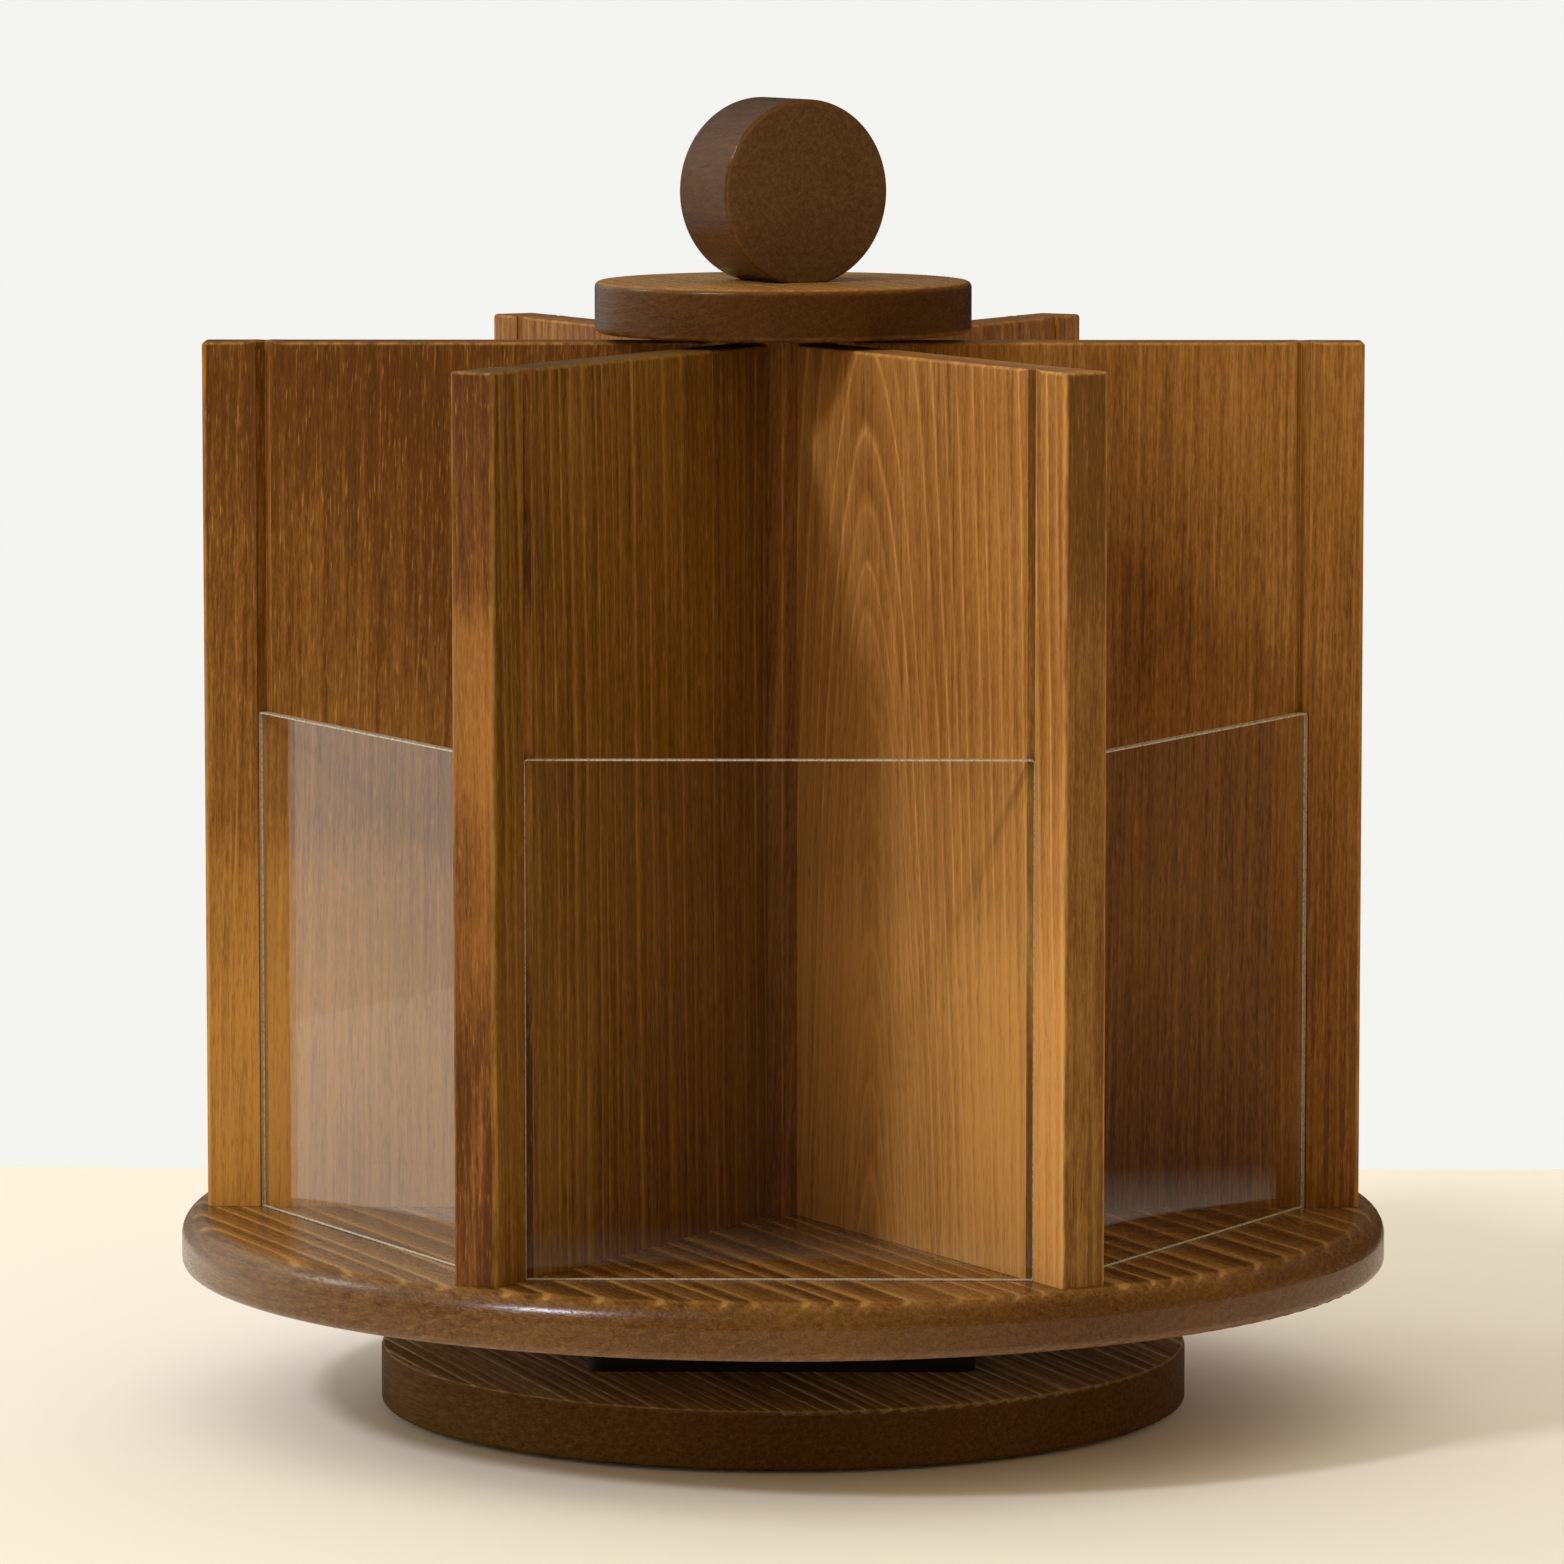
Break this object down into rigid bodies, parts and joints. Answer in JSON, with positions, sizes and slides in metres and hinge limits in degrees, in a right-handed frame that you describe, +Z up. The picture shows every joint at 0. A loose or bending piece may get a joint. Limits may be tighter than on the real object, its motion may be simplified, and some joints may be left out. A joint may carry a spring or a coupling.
{
  "type": "rotating countertop organizer",
  "caption": "Round wooden countertop organizer that turns on a ball bearing base, with radial dividers round a hub and clear removable front panels.",
  "frame": {"origin": "on the turning axis, in the plane the feet stand on", "axes": "+Z up along the turning axis; -Y is the front, facing the middle of one compartment"},
  "size_m": [0.3, 0.3, 0.3253],
  "materials": {
    "base_wood": "dark walnut, satin oil",
    "tray_wood": "walnut, satin varnish",
    "divider_wood": "walnut, satin varnish",
    "hub_wood": "walnut, satin varnish",
    "cap_wood": "walnut, satin varnish",
    "knob_wood": "dark walnut, satin varnish",
    "dowel_wood": "plain beech",
    "spacer_paint": "dark stained",
    "foot_rubber": "matte",
    "plate_steel": "black, satin",
    "ball_steel": "polished",
    "cage_plastic": "natural nylon",
    "screw_steel": "zinc plated",
    "clear_acrylic": "clear, polished"
  },
  "bodies": {
    "base": {"base_disc": "base_wood", "foot_pads": "foot_rubber", "base_spacer": "spacer_paint", "spacer_screws": "screw_steel", "bearing_lower_plate": "plate_steel", "lower_plate_screws": "screw_steel"},
    "ball_race": {"ball_cage": "cage_plastic", "bearing_balls": "ball_steel"},
    "carousel": {"bearing_upper_plate": "plate_steel", "bearing_eyelet": "plate_steel", "upper_plate_screws": "screw_steel", "tray_disc": "tray_wood", "hub_post": "hub_wood", "hub_floor_screw": "screw_steel", "cap_disc": "cap_wood", "cap_dowels": "dowel_wood", "knob": "knob_wood", "knob_stud": "screw_steel", "divider_1": "divider_wood", "divider_2": "divider_wood", "divider_3": "divider_wood", "divider_4": "divider_wood", "divider_5": "divider_wood", "divider_6": "divider_wood", "divider_floor_screws": "screw_steel", "divider_dowels": "dowel_wood"},
    "clear_panel_1": {"clear_panel_1": "clear_acrylic"},
    "clear_panel_2": {"clear_panel_2": "clear_acrylic"},
    "clear_panel_3": {"clear_panel_3": "clear_acrylic"},
    "clear_panel_4": {"clear_panel_4": "clear_acrylic"},
    "clear_panel_5": {"clear_panel_5": "clear_acrylic"},
    "clear_panel_6": {"clear_panel_6": "clear_acrylic"}
  },
  "joints": [
    {"name": "carousel_spin", "type": "hinge", "parent": "base", "child": "carousel", "pos_m": [0, 0, 0.03185], "axis": [0, 0, 1], "continuous": true},
    {"name": "ball_race_spin", "type": "hinge", "parent": "base", "child": "ball_race", "pos_m": [0, 0, 0.03185], "axis": [0, 0, 1], "continuous": true},
    {"name": "clear_panel_1_lift", "type": "slide", "parent": "carousel", "child": "clear_panel_1", "axis": [0, 0, 1], "range_m": [0, 0.2157]},
    {"name": "clear_panel_2_lift", "type": "slide", "parent": "carousel", "child": "clear_panel_2", "axis": [0, 0, 1], "range_m": [0, 0.2157]},
    {"name": "clear_panel_3_lift", "type": "slide", "parent": "carousel", "child": "clear_panel_3", "axis": [0, 0, 1], "range_m": [0, 0.2157]},
    {"name": "clear_panel_4_lift", "type": "slide", "parent": "carousel", "child": "clear_panel_4", "axis": [0, 0, 1], "range_m": [0, 0.2157]},
    {"name": "clear_panel_5_lift", "type": "slide", "parent": "carousel", "child": "clear_panel_5", "axis": [0, 0, 1], "range_m": [0, 0.2157]},
    {"name": "clear_panel_6_lift", "type": "slide", "parent": "carousel", "child": "clear_panel_6", "axis": [0, 0, 1], "range_m": [0, 0.2157]}
  ],
  "couplings": [
    {"joint": "ball_race_spin", "follows": "carousel_spin", "ratio": 0.5}
  ]
}
